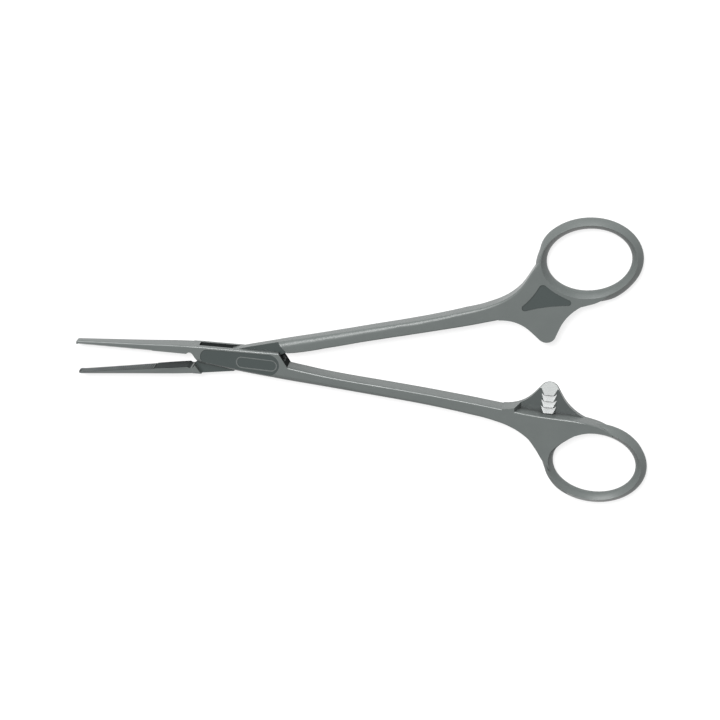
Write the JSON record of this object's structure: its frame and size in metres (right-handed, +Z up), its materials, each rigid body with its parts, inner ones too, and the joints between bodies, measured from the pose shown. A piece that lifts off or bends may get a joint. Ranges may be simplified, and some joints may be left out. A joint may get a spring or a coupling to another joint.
{
  "type": "hemostatic forceps",
  "caption": "Straight hemostatic forceps moulded in dark plastic: two ringed halves turning in a box joint, serrated tapering jaws and a toothed ratchet between the shanks",
  "frame": {"origin": "where the pivot axis meets the back face that the forceps rest on", "axes": "+X along the instrument towards the finger rings, +Z up out of the front face, +Y across, towards the ring of the tongue half"},
  "size_m": [0.1629, 0.0852, 0.005],
  "materials": {
    "box_half": "satin",
    "tongue_half": "satin"
  },
  "bodies": {
    "box_half": {"box_half": "box_half"},
    "tongue_half": {"tongue_half": "tongue_half"}
  },
  "joints": [
    {"name": "pivot", "type": "hinge", "parent": "box_half", "child": "tongue_half", "pos_m": [0, 0, 0.0025], "axis": [0, 0, 1], "range_deg": [-10, 54]}
  ]
}
